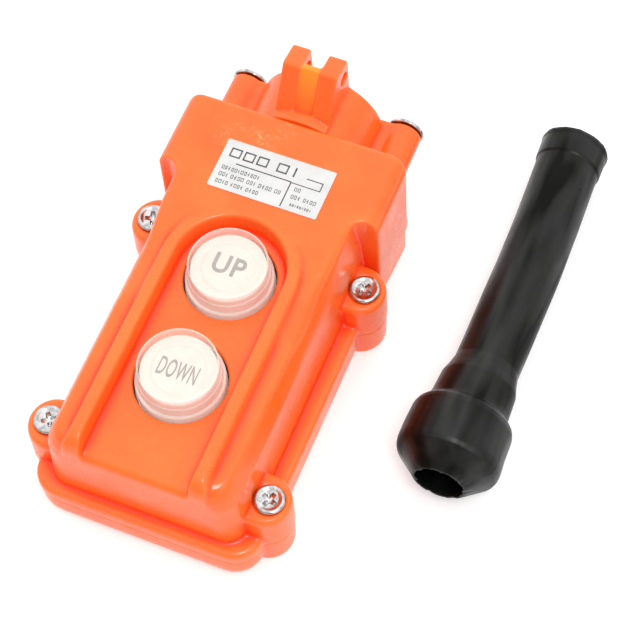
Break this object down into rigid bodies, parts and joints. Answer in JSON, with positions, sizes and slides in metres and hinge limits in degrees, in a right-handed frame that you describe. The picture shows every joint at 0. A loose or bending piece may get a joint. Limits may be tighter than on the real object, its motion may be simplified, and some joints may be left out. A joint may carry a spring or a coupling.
{
  "type": "pendant control station",
  "caption": "Hoist pendant station with clear-capped push buttons, a cable neck, hanging lugs, and a loose rubber cable boot beside it.",
  "frame": {"origin": "centre of the station's flat rear face, on which it lies", "axes": "+Z out through the button face, +Y from the closed lower end to the cable neck and lugs, +X to the right when the legends are read, the side on which the loose boot lies"},
  "size_m": [0.128, 0.1652, 0.0609],
  "materials": {
    "orange_plastic": "glossy moulded orange plastic",
    "seal_rubber": "soft black sealing rubber",
    "chrome_plate": "bright plated steel",
    "label_film": "off-white printed film",
    "clear_plastic": "clear polished plastic",
    "white_plastic": "off-white smooth plastic",
    "black_moulding": "black thermoset moulding",
    "brass": "plain stamped brass",
    "spring_steel": "drawn steel",
    "black_rubber": "satin black moulded rubber"
  },
  "bodies": {
    "case": {"front_cover": "orange_plastic", "rear_cover": "orange_plastic", "gland_head": "orange_plastic", "case_gasket": "seal_rubber", "case_screw_upper_left": "chrome_plate", "case_screw_upper_right": "chrome_plate", "case_screw_lower_left": "chrome_plate", "case_screw_lower_right": "chrome_plate", "gland_screw_left": "chrome_plate", "gland_screw_right": "chrome_plate", "rating_label": "label_film", "return_spring_up": "spring_steel", "contact_block_up": "black_moulding", "terminal_up_left": "brass", "terminal_up_right": "brass", "terminal_screw_up_left": "brass", "terminal_screw_up_right": "brass", "block_screw_up_lower": "spring_steel", "block_screw_up_upper": "spring_steel", "return_spring_down": "spring_steel", "contact_block_down": "black_moulding", "terminal_down_left": "brass", "terminal_down_right": "brass", "terminal_screw_down_left": "brass", "terminal_screw_down_right": "brass", "block_screw_down_lower": "spring_steel", "block_screw_down_upper": "spring_steel"},
    "up_button": {"button_cap_up": "clear_plastic", "legend_disc_up": "white_plastic", "button_plunger_up": "white_plastic", "button_seal_up": "seal_rubber", "contact_bridge_up": "brass"},
    "down_button": {"button_cap_down": "clear_plastic", "legend_disc_down": "white_plastic", "button_plunger_down": "white_plastic", "button_seal_down": "seal_rubber", "contact_bridge_down": "brass"},
    "cable_boot": {"cable_boot": "black_rubber"}
  },
  "joints": [
    {"name": "up_button_press", "type": "slide", "parent": "case", "child": "up_button", "axis": [0, 0, -1], "range_m": [0, 0.0035], "stiffness_N_per_m": 400, "springref_m": -0.008, "deforming": ["return_spring_up"]},
    {"name": "down_button_press", "type": "slide", "parent": "case", "child": "down_button", "axis": [0, 0, -1], "range_m": [0, 0.0035], "stiffness_N_per_m": 400, "springref_m": -0.008, "deforming": ["return_spring_down"]},
    {"name": "cable_boot_lift", "type": "slide", "parent": "case", "child": "cable_boot", "axis": [0, 0, 1], "range_m": [0, 0.12]}
  ]
}
